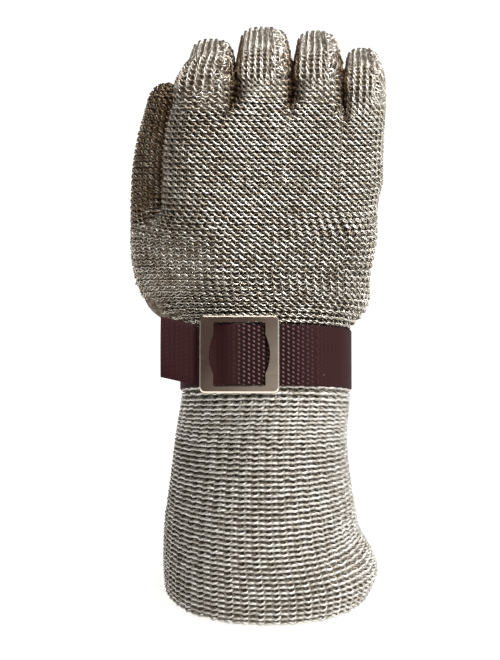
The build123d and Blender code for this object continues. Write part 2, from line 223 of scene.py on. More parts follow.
def mesh_piece(name, points, faces, material):
    """A smooth object from points in millimetres, in the glove's frame."""
    data = bpy.data.meshes.new(name)
    data.from_pydata((points * 0.001).tolist(), [], faces)
    data.materials.append(material)
    data.polygons.foreach_set("use_smooth", [True] * len(data.polygons))
    piece = bpy.data.objects.new(name, data)
    bpy.context.collection.objects.link(piece)
    return piece


def unit(vectors):
    """The same directions, each with length 1."""
    return vectors / np.maximum(np.linalg.norm(vectors, axis=-1, keepdims=True), 1e-9)


def turns(angle, axis):
    """Rotation matrices by these angles about the ring's own first or second axis."""
    c, s, o, i = np.cos(angle), np.sin(angle), np.zeros_like(angle), np.ones_like(angle)
    rows = ((i, o, o), (o, c, -s), (o, s, c)) if axis == 0 else ((c, o, s), (o, i, o), (-s, o, c))
    return np.moveaxis(np.array(rows), 2, 0)


def link_rings(name, rings, chosen, wire=RING_WIRE, steel=ring_steel):
    """Rings laid in a four-in-one pattern: every other column leans and turns the other way."""
    places, across, up = (values[chosen] for values in rings[:3])
    lean, yaw, even, wobble, painted_lightness = (np.broadcast_to(v, chosen.shape)[chosen] for v in rings[3:])
    ring_points = torus_middle * RING_RADIUS + torus_skin * wire
    out = unit(np.cross(across, up))
    across = unit(across)
    up = np.cross(out, across)
    side = np.where(even, 1.0, -1.0)
    lean = np.radians(lean * side + chance.normal(0, 1, len(places)) * wobble)
    yaw = np.radians(yaw * side + chance.normal(0, 1, len(places)) * wobble)
    place_axes = np.stack([across, up, out], 2)
    local = turns(lean, 0) @ turns(yaw, 1)
    points = np.einsum("nij,njk,mk->nmi", place_axes, local, ring_points) + places[:, None]
    faces = ring_faces[None] + (np.arange(len(places)) * len(ring_points))[:, None, None]
    piece = mesh_piece(name, points.reshape(-1, 3), faces.reshape(-1, 4).tolist(), steel)
    # from dim to bare steel by chance, and browner and darker where painted shade lies on a ring
    tones = np.repeat((0.5 + 0.5 * chance.random(len(places))) * painted_lightness, len(ring_points))
    piece.data.attributes.new("tone", "FLOAT", "POINT").data.foreach_set("value", tones)
    return piece


# ---- Cuff and hand: the sleeve's shape
# The body of the glove is one sleeve, wide at the hem, gathered in at the wrist and flat over
# the hand. Its cross-sections lie square to the forearm, the strap and the hand in turn.
STRAP_Z, STRAP_SLANT, HAND_Z, HAND_LEAN = 104.0, 27.0, 112.0, 14.0


def strap_level(offset):
    """Middle y, middle z and slant this far above the strap's middle, square to the strap."""
    a = radians(STRAP_SLANT)
    return (offset * sin(a), STRAP_Z + offset * cos(a), STRAP_SLANT)


def hand_level(u, slant=HAND_LEAN):
    """Middle y, middle z and slant at this height up the hand."""
    a = radians(HAND_LEAN)
    return (u * sin(a), HAND_Z + u * cos(a), slant)


def leaning(degrees):
    """Axes that lean towards the palm by this angle, one in each row: across, depth, up."""
    a = radians(degrees)
    return np.array(((1, 0, 0), (0, cos(a), -sin(a)), (0, sin(a), cos(a))))


def reach_along(points):
    """How far along a line each of its points lies."""
    return np.concatenate([[0], np.cumsum(np.linalg.norm(np.diff(points, axis=0), axis=1))])


# each: middle y, middle z, slant, left, right, front, back, squareness
sleeve = np.array([
    (0, -6, 0, -43.6, 43.4, 40, 40, 2.25),
    (0, 5, 1, -44.2, 45.2, 40, 40, 2.25),
    (0, 25, 6, -43.8, 39.5, 37.5, 37.5, 2.0),
    (0, 47, 13, -41.0, 35.2, 33, 33, 2.0),
    (0, 68, 20, -38.4, 33.2, 29.5, 29.5, 2.05),
    (*strap_level(-13.5), -35.3, 34, 27, 27, 2.1),
    (*strap_level(0), -35.3, 34, 27, 27, 2.1),
    (*strap_level(13.5), -35.3, 34, 27, 27, 2.1),
    (*strap_level(20.5), -38.4, 40.6, 26.5, 26, 2.15),
    (*hand_level(28, 25), -42.0, 42.8, 22.5, 21, 2.3),
    (*hand_level(45, 17), -43.8, 45.6, 20, 17, 2.6),
    (*hand_level(58), -44.0, 45.8, 18.7, 13, 2.8),
    (*hand_level(70), -43.6, 47.8, 17.5, 9, 3.1),
    (*hand_level(78), -43.6, 48.6, 17.0, 7, 3.3),
])
sleeve_reach = reach_along(sleeve[:, :2])
REACH_AT_STRAP = sleeve_reach[6]
REACH_AT_58 = sleeve_reach[11]


def between(sections, reaches, reach):
    """The section at this reach, eased from one drawn section to the next without a kink."""
    slopes = np.gradient(sections, reaches, axis=0)
    i = int(np.clip(np.searchsorted(reaches, reach) - 1, 0, len(sections) - 2))
    gap = reaches[i + 1] - reaches[i]
    t = (reach - reaches[i]) / gap
    ease = t * t * (3 - 2 * t)
    lean_in = (t**3 - 2 * t**2 + t) * gap * slopes[i]
    lean_out = (t**3 - t**2) * gap * slopes[i + 1]
    return sections[i] + (sections[i + 1] - sections[i]) * ease + lean_in + lean_out


def oval(left, right, front, back, power, steps=720):
    """A flattened oval of (across, depth), from the middle of the front round to the right."""
    angle = np.arange(steps) * 2 * pi / steps
    wide = np.sign(np.sin(angle)) * np.abs(np.sin(angle)) ** (2 / power)
    deep = np.sign(np.cos(angle)) * np.abs(np.cos(angle)) ** (2 / power)
    depth = np.where(deep > 0, front, back)
    return np.stack([(left + right) / 2 + (right - left) / 2 * wide, -depth * deep], 1)


def round_off(start, end, value):
    """From 0 at the start to 1 at the end, eased at both."""
    t = np.clip((value - start) / (end - start), 0, 1)
    return t * t * (3 - 2 * t)


# above the strap the side swells over the ball of the thumb, up to where the thumb parts: the
# heights it rises and sinks between, how far left of the middle, and how far and which way
BALL_RISES, BALL_SINKS, BALL_SIDE = (113, 131), (154, 168), (14, 44)
BALL_SWELL, BALL_WAY = 14.5, (-1, 0.62, -0.15)


def on_ball(points):
    """How far onto the ball of the thumb a point of the hand lies, from 0 to 1."""
    height = points[..., 2]
    swelling = round_off(*BALL_RISES, height) * (1 - round_off(*BALL_SINKS, height))
    return swelling * round_off(*BALL_SIDE, -points[..., 0])


# above the hem the loose mesh sags into a soft fold at the little finger's side. Each: middle and
# width up the sleeve, width round it, and how far out it goes as a share of the sleeve's size
FOLD_ANGLE = 1.25
FOLDS = ((15, 7, 0.45, 0.07), (31, 8, 0.5, -0.03))


def sleeve_loop(reach, inset):
    """The sleeve's skin at this distance up it, drawn in by the inset."""
    y, z, slant, left, right, front, back, power = between(sleeve, sleeve_reach, reach)
    flat = oval(left + inset, right - inset, front - inset, back - inset, power)
    angle = np.arctan2(flat[:, 0], -flat[:, 1])
    swell = 1.0
    for middle, length, width, size in FOLDS:
        bulge = np.exp(-((reach - middle) / length) ** 2 - ((angle - FOLD_ANGLE) / width) ** 2)
        swell = swell + size * bulge
    flat = flat * swell[:, None]
    right_way, deep_way = leaning(slant)[:2]
    loop = np.array((0, y, z)) + np.outer(flat[:, 0], right_way) + np.outer(flat[:, 1], deep_way)
    return loop + np.outer(BALL_SWELL * on_ball(loop), BALL_WAY)


def along(loop, distances):
    """Points of a closed loop at these distances round it, and the way it runs there."""
    closed = np.vstack([loop, loop[:1]])
    reach = reach_along(closed)

    def at(d):
        d = np.mod(d, reach[-1])
        return np.stack([np.interp(d, reach, closed[:, i]) for i in range(3)], 1)

    return at(distances), at(distances + 0.4) - at(distances - 0.4)


def girth(loop):
    """The length of a closed loop, all the way round."""
    return np.linalg.norm(np.roll(loop, -1, 0) - loop, axis=1).sum()


def even_reaches(start, end, step):
    """Distances up the sleeve whose rows lie a step apart along the back of the hand."""
    fine = np.linspace(start, end, 400)
    front = np.array([sleeve_loop(r, 0)[0] for r in fine])
    length = reach_along(front)
    count = int(round(length[-1] / step))
    return np.interp(np.arange(count + 1) * length[-1] / count, length, fine)


# how far inside the glove's face the rings' middles and the two faces of the shade lie
RING_INSET = 0.7
SHADE_INSET = 1.55
SHADE_INNER = 2.05
SLEEVE_STEPS = 84


def shade_tube(name, loop_of, lines, shade_light, steps=SLEEVE_STEPS):
    """Painted shade just under the rings of these rows: a dark sheet of two faces, joined at both ends."""
    sheets = []
    for inset in (SHADE_INSET, SHADE_INNER):
        loops = [loop_of(line, inset) for line in lines]
        sheets.append([along(loop, np.arange(steps) * girth(loop) / steps)[0] for loop in loops])
    sheets = np.array(sheets)
    rows = sheets.shape[1]
    index = np.arange(2 * rows * steps).reshape(2, rows, steps)
    nxt = np.roll(index, -1, axis=2)
    quads = [
        np.stack([index[0, :-1], nxt[0, :-1], nxt[0, 1:], index[0, 1:]], -1),
        np.stack([index[1, :-1], index[1, 1:], nxt[1, 1:], nxt[1, :-1]], -1),
        np.stack([index[0, :1], index[1, :1], nxt[1, :1], nxt[0, :1]], -1),
        np.stack([index[0, -1:], nxt[0, -1:], nxt[1, -1:], index[1, -1:]], -1),
    ]
    faces = np.concatenate([q.reshape(-1, 4) for q in quads]).tolist()
    piece = mesh_piece(name, sheets.reshape(-1, 3), faces, mesh_shade)
    paler = np.full(len(piece.data.vertices), shade_light)
    piece.data.attributes.new("shade_light", "FLOAT", "POINT").data.foreach_set("value", paler)
    return piece


# ---- Cuff
# The cuff is a tube of ring mesh, 80 columns round, pulled open by the forearm so that its rings
# stand nearly on edge in level rows. It ends under the strap, which gathers it. Its wire is drawn
# 1.24 mm thick, twice the hand's, so that the rows show.
CUFF_START = 3.8
CUFF_ROW = 1.2
CUFF_COLUMNS = 80
CUFF_WIRE = 0.62
CUFF_LEAN, CUFF_YAW = 66.0, 0.0
# how much painted light pales the shade under the cuff's rings
CUFF_SHADE_LIGHT = 0.5
# the cuff's rings are a paler, greyer copy of the steel, painted light, and rougher, so that they spread
# the light more
cuff_lit_steel = ring_metal("cuff_lit_ring_steel", 0.62, "#4d463e", "#98897a", "#cbc7c0", "#e9e7e3")
cuff_reach = even_reaches(CUFF_START, REACH_AT_STRAP + 1.0, CUFF_ROW)


def lay_rows(loops, distances_of):
    """Places, the way across and the way up for every ring of these rows."""
    places, across = [], []
    for row, loop in enumerate(loops):
        at, way = along(loop, distances_of(row, loop))
        places.append(at)
        across.append(way)
    places, across = np.array(places), np.array(across)
    return places, across, np.gradient(places, axis=0)


cuff_loops = [sleeve_loop(r, RING_INSET) for r in cuff_reach]
turn_share = np.arange(CUFF_COLUMNS) / CUFF_COLUMNS
places, across, up = lay_rows(cuff_loops, lambda row, loop: turn_share * girth(loop))
row, column = np.indices(places.shape[:2])
here = (row + column) % 2 == 0
rings = (places, across, up, CUFF_LEAN, CUFF_YAW, column % 2 == 0, RING_WOBBLE, 1.0)
for name, side in (("cuff_mesh_back", places[..., 1] < 0), ("cuff_mesh_palm", places[..., 1] >= 0)):
    piece = link_rings(name, rings, here & side, CUFF_WIRE, cuff_lit_steel)
    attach(piece, "cuff")
    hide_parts("cuff_back" if name.endswith("back") else "cuff_palm")

cuff_shade = shade_tube("cuff_shade", sleeve_loop, cuff_reach[::2], CUFF_SHADE_LIGHT)
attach(cuff_shade, "cuff")
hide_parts("cuff_hem")


# ---- Fingers: sizes
# Each finger's slice of the knuckle row, its own tube, and its three segments. The four slices
# share one skin up to the crotch; past it each finger is a round tube of its own.
FINGER_V = -4.5
# heights up the hand: where the fingers' rows begin, and where their slices start to draw in
FIRST_U, KNUCKLE_U = 68.0, 74.0
BEND, TIP_BEND = radians(74), radians(45)
HAND_ROW = 1.25


class Finger:
    """One finger's sizes; each is a tube whose middle line lies FINGER_V from the hand's own."""

    def __init__(self, name, base_left, base_right, x, half, depth, bend_u, middle, tip, columns):
        self.name, self.base_left, self.base_right = name, base_left, base_right
        self.x, self.half, self.depth = x, half, depth
        self.bend_u, self.middle, self.tip, self.columns = bend_u, middle, tip, columns
        # where it has come to its own width, the side no neighbour touches, how much broader it
        # is at the shoulder, and how much half its width narrows to the tip
        self.settled_u = bend_u - depth - 0.9
        self.outer = {"index": -1, "little": 1}.get(name, 0)
        self.shoulder = 5.0 if name == "index" else 0.0
        self.taper = 1.3 if name == "long" else 1.7

    def edges(self, u):
        """The finger's left and right at this height, drawn in from the knuckles up."""
        share = np.clip((u - KNUCKLE_U) / (self.settled_u - KNUCKLE_U), 0, 1) ** 2
        left = self.base_left + (self.x - self.half - self.shoulder - self.base_left) * share
        right = self.base_right + (self.x + self.half - self.base_right) * share
        return left, right


# each: its slice's left and right, middle, half width, half depth, height of the bend, lengths
# of the second and third segments, and columns of rings across its back
fingers = [
    Finger("index", -43.3, -20.0, -23.5, 10.4, 9.5, 112.5, 25.5, 22.0, 15),
    Finger("long", -20.0, 6.8, -1.5, 11.4, 10.0, 116.5, 27.5, 23.0, 18),
    Finger("ring", 6.8, 29.6, 21.1, 10.1, 9.5, 115.8, 26.0, 22.5, 15),
    Finger("little", 29.6, 47.9, 40.5, 8.4, 8.5, 110.5, 22.5, 20.0, 13),
]


# ---- Hand
# Above the strap the same mesh is crowded sideways, so its rings overlap like shingles and
# slope down to the right. Its columns run on unbroken from the wrist into the four fingers.
PALM_COLUMN = 3.0
WRIST_LENGTH = 27.0
# how much painted light pales the shade under the rings, at the wrist and over the hand
WRIST_SHADE_LIGHT, PALM_SHADE_LIGHT = 0.1, 0.05
hand_reach = even_reaches(REACH_AT_STRAP - 1.0, REACH_AT_58 + FIRST_U - 58, HAND_ROW)
top_loop = sleeve_loop(hand_reach[-1], RING_INSET)
top_girth = girth(top_loop)
quarter = len(top_loop) // 4
right_side = top_loop[:quarter + 1]
left_side = np.vstack([top_loop[:1], top_loop[:-quarter - 1:-1]])


def distance_at(x):
    """How far round the top of the hand this x lies, left of the middle counted as negative."""
    if x >= top_loop[0, 0]:
        return np.interp(x, right_side[:, 0], reach_along(right_side))
    return -np.interp(-x, -left_side[:, 0], reach_along(left_side))


# the columns across the back stand where the fingers need them; the palm's share what is left
column_at = []
for finger in fingers:
    middle = distance_at((finger.base_left + finger.base_right) / 2)
    pitch = (finger.base_right - finger.base_left) / finger.columns
    steps = np.arange(finger.columns) - (finger.columns - 1) / 2
    column_at.extend(middle + steps * pitch)
round_the_palm = top_girth - (column_at[-1] - column_at[0])
palm_columns = 2 * int(round(round_the_palm / PALM_COLUMN)) - 1
if (len(column_at) + palm_columns) % 2:
    palm_columns += 1
gap = round_the_palm / (palm_columns + 1)
column_at = np.array(column_at + [column_at[-1] + gap * (k + 1) for k in range(palm_columns)])

hand_loops = [sleeve_loop(r, RING_INSET) for r in hand_reach]
places, across, up = lay_rows(hand_loops, lambda row, loop: column_at * girth(loop) / top_girth)
row, column = np.indices(places.shape[:2])
row = row - len(hand_reach) + 1
here = (row + column) % 2 == 0

HAND = leaning(HAND_LEAN)
HAND_START = np.array((0, 0, HAND_Z))


def on_hand(points):
    """From (across, depth, up the hand) to the glove's frame."""
    return points @ HAND + HAND_START


def above_hand(points):
    """From the glove's frame to (across, depth, up the hand)."""
    return (points - HAND_START) @ HAND.T


def shade_by_thumb(points):
    """Painted shade on the rings: browner and darker towards the thumb, bright towards the little finger.
    """
    return 0.72 + 0.28 * np.clip((points[..., 0] + 45) / 35, 0, 1)


in_wrist = (hand_reach < REACH_AT_STRAP + WRIST_LENGTH)[:, None]
over_back = above_hand(places)[..., 1] < FINGER_V
# the rows stand steep where the strap gathers them, and settle into shingles past it; over the
# ball of the thumb they lie level and close
past_strap = np.clip((hand_reach - REACH_AT_STRAP - 12) / 16, 0, 1)[:, None]
lean = 60 - 15 * past_strap - 20 * on_ball(places)
yaw = (-8 - 14 * past_strap) * (1 - on_ball(places))
# painted shade and light on the rings: darker towards the thumb, a little brighter over the ball of the
# thumb
painted_lightness = shade_by_thumb(places) * (1 + 0.1 * on_ball(places))
rings = (places, across, up, lean, yaw, column % 2 == 0, RING_WOBBLE, painted_lightness)
parts = (
    ("wrist_mesh", in_wrist),
    ("hand_mesh_back", ~in_wrist & over_back),
    ("hand_mesh_palm", ~in_wrist & ~over_back),
)
for name, part in parts:
    piece = link_rings(name, rings, here & part)
    if name == "wrist_mesh":
        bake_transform(piece)
        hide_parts("wrist_sleeve")
    else:
        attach(piece, "hand")
        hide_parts(name.replace("_mesh", ""))

edge = int(in_wrist.sum())
wrist_shade = shade_tube("wrist_shade", sleeve_loop, hand_reach[:edge + 1], WRIST_SHADE_LIGHT)
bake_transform(wrist_shade)
hand_shade = shade_tube("hand_shade", sleeve_loop, hand_reach[edge:], PALM_SHADE_LIGHT)
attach(hand_shade, "hand")
# painted light: over the ball of the thumb the mesh hangs slack, and the painted shade under it is paler
skin = np.array([v.co for v in hand_shade.data.vertices]) * 1000
hand_shade.data.attributes["shade_light"].data.foreach_set("value", PALM_SHADE_LIGHT + 0.85 * on_ball(skin))


# ---- Fingers
# Each finger is a closed tube: straight up from the knuckle, bent sharply at its middle joint
# and again near its tip. On the palm side of a bend the rings bunch in a crease.
SLIM_STEPS = 48
# how much painted light pales the shade of a finger's three pieces, from the knuckle out, where the mesh
# hangs slack, and how far their shades overlap
FINGER_SHADE_LIGHT, SHADE_LAP = (0.05, 0.45, 0.7), 1.5
# how far short of a bend's centre its crease stops, and how fast the two creases open past it
CREASE_GAP, CREASE_OPENS, TIP_CREASE_OPENS = 0.4, 1.3, 1.8
# the knuckles' shared skin: depths to the back and the palm, how much each thins, squareness
SKIN_BACK, SKIN_PALM, BACK_THINS, PALM_THINS, SKIN_SQUARE = 17.2, 8.0, 2.7, 2.6, 3.2
SKIN_TOP_U = 100
# how much half a finger's depth narrows to the tip
THINNING = 0.8


def slice_reach(finger, u, ways, inset, wall_inset):
    """How far each way the shared knuckle skin lies from the finger's middle line."""
    left, right = finger.edges(u)
    outer_left, outer_right = fingers[0].edges(u)[0], fingers[-1].edges(u)[1]
    share = np.clip((u - KNUCKLE_U) / (SKIN_TOP_U - KNUCKLE_U), 0, 1) ** 2
    front, back = SKIN_BACK - BACK_THINS * share - inset, SKIN_PALM - PALM_THINS * share - inset
    middle, half = (outer_left + outer_right) / 2, (outer_right - outer_left) / 2 - inset
    centre = (left + right) / 2
    # the skin is found by halving the gap between a point inside it and one outside
    near, far = np.zeros(len(ways)), np.full(len(ways), 60.0)
    for _ in range(26):
        reach = (near + far) / 2
        x = centre + ways[:, 0] * reach - middle
        v = FINGER_V + ways[:, 1] * reach
        depth = np.where(v < 0, front, back)
        inside = np.abs(x / half) ** SKIN_SQUARE + np.abs(v / depth) ** SKIN_SQUARE < 1
        near, far = np.where(inside, reach, near), np.where(inside, far, reach)
    wall = np.where(ways[:, 0] > 0, right - wall_inset - centre, centre - left - wall_inset)
    wall = wall / np.maximum(np.abs(ways[:, 0]), 1e-6)
    # a ring on the wall between two fingers shows only where the wall is well under the skin
    return np.minimum(near, wall), (wall < near) & (wall > near - 2.4)


def finger_path(finger):
    """Rows along the back of one finger, and the distances at which its stretches end.

    Each row is its distance, middle height and depth, bend so far, half width, half depth, and
    how deep its palm side may reach.
    """
    r1, r2 = finger.depth * 0.42, finger.depth * 0.4
    slim_half, slim_depth = finger.half - finger.taper, finger.depth - THINNING
    t1, t2 = r1 * tan(BEND / 2), r2 * tan(TIP_BEND / 2)
    straight = finger.bend_u - t1 - FIRST_U
    arc = (r1 + finger.depth) * BEND
    middle = finger.middle - t1 - t2
    tip_arc = (r2 + slim_depth) * TIP_BEND
    barrel = finger.tip - t2 - slim_half
    dome = slim_half * 1.5
    ends = np.cumsum([straight, arc, middle, tip_arc, barrel, dome])
    count = int(ends[-1] / HAND_ROW)
    rows = []
    bend_v = FINGER_V + r1
    bend_level = finger.bend_u - t1
    joint = np.array((finger.bend_u, FINGER_V))
    way = np.array((cos(BEND), sin(BEND)))
    second = joint + way * (finger.middle - t2)
    pivot2 = second + r2 * np.array((-sin(BEND), cos(BEND)))
    for i in range(count + 1):
        d = i * HAND_ROW
        half, depth = finger.half, finger.depth
        if d <= ends[0]:
            # straight up from the knuckle
            u, v, bend = FIRST_U + d, FINGER_V, 0.0
            pinch = r1 - CREASE_GAP + (ends[0] - d) * CREASE_OPENS
        elif d <= ends[1]:
            # round the middle joint
            bend = (d - ends[0]) / (r1 + finger.depth)
            u, v = bend_level + r1 * sin(bend), bend_v - r1 * cos(bend)
            pinch = r1 - CREASE_GAP
        elif d <= ends[2]:
            # along the second segment, narrowing
            past = d - ends[1]
            bend = BEND
            u, v = joint + way * (t1 + past)
            half = finger.half - finger.taper * past / middle
            depth = finger.depth - THINNING * past / middle
            pinch = min(
                r1 - CREASE_GAP + past * CREASE_OPENS,
                r2 - CREASE_GAP + (ends[2] - d) * TIP_CREASE_OPENS,
            )
        elif d <= ends[3]:
            # round the joint near the tip
            turn = (d - ends[2]) / (r2 + slim_depth)
            bend = BEND + turn
            half, depth = slim_half, slim_depth
            u, v = pivot2 + r2 * np.array((sin(bend), -cos(bend)))
            pinch = r2 - CREASE_GAP
        else:
            # out to the tip, and over its dome
            bend = BEND + TIP_BEND
            half, depth = slim_half, slim_depth
            start = pivot2 + r2 * np.array((sin(bend), -cos(bend)))
            past = d - ends[3]
            tip_way = np.array((cos(bend), sin(bend)))
            pinch = r2 - CREASE_GAP + past * TIP_CREASE_OPENS
            if d > ends[4]:
                angle = min((d - ends[4]) / slim_half, 1.5)
                u, v = start + tip_way * (barrel + slim_half * sin(angle))
                half, depth = slim_half * cos(angle), slim_depth * cos(angle)
            else:
                u, v = start + tip_way * past
        rows.append((d, u, v, bend, half, depth, pinch))
    return np.array(rows), ends


def row_edges(finger, line):
    """How far left and right one row of the finger reaches, past its bends as well."""
    _, u, _, bend, half, _, _ = line
    if bend == 0 and u < finger.bend_u:
        return finger.edges(u)
    broad = finger.shoulder * max(0, 1 - (bend / BEND) ** 1.6)
    return finger.x - half - broad, finger.x + half


def finger_loop(finger, line, inset, with_walls=False, steps=360):
    """One row of the finger's tube, from the middle of its back round to the right."""
    hidden = np.zeros(steps, bool)
    _, u, v, bend, half, depth, pinch = line
    angle = np.arange(steps) * 2 * pi / steps
    ways = np.stack([np.sin(angle), -np.cos(angle)], 1)
    straight = bend == 0 and u < finger.bend_u
    left, right = row_edges(finger, line)
    if half < inset + 0.5:
        inset = max(half - 0.5, 0)
    wide, deep = (right - left) / 2 - inset, max(depth - inset, 0.4)
    # past the bend the tube is squarer, up to its dome
    square = 2.3 + 0.8 * (bend > 0) * (half > 6)
    widths, depths = np.abs(ways[:, 0] / wide), np.abs(ways[:, 1] / deep)
    tube = (widths**square + depths**square) ** (-1 / square)
    if straight:
        # the shared skin gives way to the finger's own tube; up to there the walls between two
        # fingers lie close to their border, so that no light shows between them
        own = round_off(finger.bend_u - 21, finger.bend_u - 9, u)
        wall_inset = inset - (1.1 if inset < 1 else 1.35) * (1 - own)
        shared, walled = slice_reach(finger, u, ways, inset, wall_inset)
        tube = tube * own + shared * (1 - own)
        hidden = walled & (own < 0.9)
    # squeezed side by side, the fingers touch along their palm halves
    press = 1.5 * np.clip(ways[:, 1] + 0.25, 0, 1) * (1 if half > 5 else 0)
    press = np.where(ways[:, 0] * finger.outer > 0, 0, press)
    x = (left + right) / 2 + ways[:, 0] * (tube + press)
    w = np.minimum(ways[:, 1] * tube, pinch)
    flat = np.stack([x, v + w * cos(bend), u - w * sin(bend)], 1)
    return (on_hand(flat), hidden) if with_walls else on_hand(flat)


# loose, jumbled rings where two fingers part: across, height, reach
crotches = ((-25.5, 106.0, 2.6), (30.0, 100.0, 3.6))
# columns laid each way from a finger's middle, more than go half round it
EACH_WAY = 38


def lay_finger(finger, first_column):
    """A finger's rows, the ends of its stretches, which places hold a ring, and its rings."""
    rows, ends = finger_path(finger)
    laid = [finger_loop(finger, line, RING_INSET, True) for line in rows]
    loops = [points for points, _ in laid]
    steps = np.arange(-EACH_WAY, EACH_WAY) + (0.0 if finger.columns % 2 else 0.5)
    spans = np.array([row_edges(finger, line) for line in rows])
    pitch = np.minimum(spans[:, 1] - spans[:, 0], 99) / finger.columns
    pitch = np.maximum(pitch, 2 * (finger.half - finger.taper) / finger.columns)
    places, across, up = lay_rows(loops, lambda row, loop: steps * pitch[row])
    kept = np.zeros(places.shape[:2], bool)
    for i, (loop, hidden) in enumerate(laid):
        behind = np.interp(np.mod(steps * pitch[i], girth(loop)), reach_along(loop), hidden)
        fits = np.abs(steps) * pitch[i] < girth(loop) / 2 - 0.15 * pitch[i]
        kept[i] = fits & (behind < 0.5)
    row, column = np.indices(kept.shape)
    number = column - EACH_WAY + finger.columns // 2 + first_column
    kept &= (row + number) % 2 == 0
    # where the rows bunch in a crease, most are left out
    spread = np.linalg.norm(up, axis=-1)
    kept &= (spread > 0.5 * HAND_ROW) | (row // 2 % 3 == 0)
    along_hand = np.stack([rows[:, 0] * 0, np.sin(rows[:, 3]), np.cos(rows[:, 3])], 1)
    up = up + 0.5 * (along_hand @ HAND)[:, None]
    # over the bend the columns gather into ridges; the side by the little finger stays loose
    lead = 14.0 if finger.name == "little" else 4.0
    ridged = round_off(ends[0] - lead, ends[0] + 2, rows[:, 0])[:, None]
    outward = steps[None] * pitch[:, None] / (finger.half * 0.9)
    loose = round_off(0.25, 0.6, outward) * round_off(0.5, 0.9, ridged)
    flat = above_hand(places)
    for x, u, size in crotches:
        patch = np.exp(-((flat[..., 0] - x) ** 2 + (flat[..., 2] - u) ** 2) / size**2)
        loose = np.maximum(loose, patch * (flat[..., 1] < FINGER_V))
    places = places - unit(np.cross(across, up)) * 0.6 * ridged[..., None]
    lean = (45 - 25 * ridged) * (1 - 0.5 * loose)
    yaw = (-22 - 33 * ridged) * (1 - loose)
    # painted shade: the rings down the sides between two fingers are darker
    past_knuckle = round_off(-24, -12, rows[:, 1] - finger.bend_u)[:, None]
    flank = round_off(0.7, 1.15, np.abs(outward)) * past_knuckle
    flank = flank * np.where(outward * finger.outer > 0, 0, 1)
    painted_lightness = (1 - 0.62 * flank) * shade_by_thumb(places)
    rings = (places, across, up, lean, yaw, number % 2 == 0, RING_WOBBLE + 24 * loose, painted_lightness)
    return rows, ends, kept, rings


def blended_part(name, rings, chosen, loop_of, lines, shade_light, nodes):
    """One piece of rings over its shade, both fixed in the glove's frame; the frame's nodes they stand for
    are hidden.
    """
    piece = link_rings(f"{name}_mesh", rings, chosen)
    shade = shade_tube(f"{name}_shade", loop_of, lines, shade_light, SLIM_STEPS)
    for thing in (piece, shade):
        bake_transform(thing)
    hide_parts(*nodes)


# the columns are numbered on from one finger to the next
first_column = 0
for finger in fingers:
    rows, ends, kept, rings = lay_finger(finger, first_column)
    first_column += finger.columns
    # three pieces, cut halfway between joints
    borders = (0, finger.bend_u - 14.5 - FIRST_U, (ends[1] + ends[2]) / 2 - 0.5, 999)
    stood_for = (("knuckle", "lower"), ("crease", "middle"), ("tip_crease", "tip"))
    for i, part in enumerate(("base", "bend", "tip")):
        chosen = kept & ((rows[:, 0] >= borders[i]) & (rows[:, 0] < borders[i + 1]))[:, None]
        span = (rows[:, 0] >= borders[i] - SHADE_LAP) & (rows[:, 0] < borders[i + 1] + SHADE_LAP)
        blended_part(
            f"{finger.name}_{part}", rings, chosen,
            lambda line, inset: finger_loop(finger, line, inset), rows[span], FINGER_SHADE_LIGHT[i],
            [f"{finger.name}_{node}" for node in stood_for[i]],
        )


# ---- Thumb
# The thumb lies beside the index finger, set back towards the palm. Its tube grows out of the
# side of the hand and ends in a small gathered whorl of rings.
THUMB_COLUMN, THUMB_EACH_WAY = 1.26, 35
# how much painted light pales the shade under the thumb's rings
THUMB_SHADE_LIGHT = 0.62
# its path, inside the tube: x, depth, height up the hand, half width, half depth
thumb = np.array([
    (-31.0, 7.0, 11.5, 7.0, 6.0),
    (-37.0, 10.0, 18.0, 14.4, 11.5),
    (-43.5, 15.0, 33.0, 14.0, 12.4),
    (-46.5, 22.0, 50.0, 12.0, 11.4),
    (-46.8, 25.0, 76.0, 10.4, 9.8),
    (-42.6, 27.0, 108.0, 6.4, 8.0),
])
thumb_reach = reach_along(thumb[:, :3])


def thumb_loop(reach, inset):
    """The thumb's skin at this distance along its path, drawn in by the inset."""
    total = thumb_reach[-1]
    section, ahead, behind = (
        between(thumb, thumb_reach, r)
        for r in (min(reach, total), min(reach + 1, total), max(min(reach, total) - 1, 0))
    )
    way = unit(ahead[:3] - behind[:3])
    right = unit(np.array((1.0, 0, 0)) - way * way[0])
    deep_way = np.cross(way, right)
    half, deep = section[3] - inset, section[4] - inset
    dome = total - section[3]
    if reach > dome:
        angle = min((reach - dome) / section[3], 1.5)
        section = between(thumb, thumb_reach, dome + section[3] * sin(angle))
        half, deep = half * cos(angle) + 0.2, deep * cos(angle) + 0.2
    flat = oval(-half, half, deep, deep, 2.3, 360)
    return on_hand(section[:3] + np.outer(flat[:, 0], right) + np.outer(flat[:, 1], deep_way))


thumb_rows = np.arange(1.0, thumb_reach[-1] + 4.6, HAND_ROW)
thumb_loops = [thumb_loop(r, RING_INSET) for r in thumb_rows]
steps = np.arange(-THUMB_EACH_WAY, THUMB_EACH_WAY) + 0.5
places, across, up = lay_rows(thumb_loops, lambda row, loop: steps * THUMB_COLUMN)
girths = np.array([girth(loop) for loop in thumb_loops])
row, column = np.indices(places.shape[:2])
kept = (np.abs(steps)[None] * THUMB_COLUMN < girths[:, None] / 2 - 0.6) & ((row + column) % 2 == 0)
# low down, only the palm side of the tube shows past the ball of the thumb
side, depth, height = np.moveaxis(above_hand(places), -1, 0)
past_ball = (height > 41) & ((side < -44) | (height > 60))
palm_side = (depth > 11) & (height > 24)
kept &= past_ball | palm_side
# painted shade on the thumb's rings: darker towards the tip and next to the index finger, where the hand
# shades it, and lighter at the palm side
grown = np.clip((thumb_rows - 30) / 25, 0, 1)[:, None] * np.ones(kept.shape)
lean, yaw = 46 - 12 * grown, -16 * grown
painted_lightness = (0.7 - 0.26 * grown) * (1 - 0.4 * round_off(-47, -41, side)) + 0.3 * round_off(18, 32, depth)
rings = (places, across, up, lean, yaw, column % 2 == 0, RING_WOBBLE, painted_lightness)

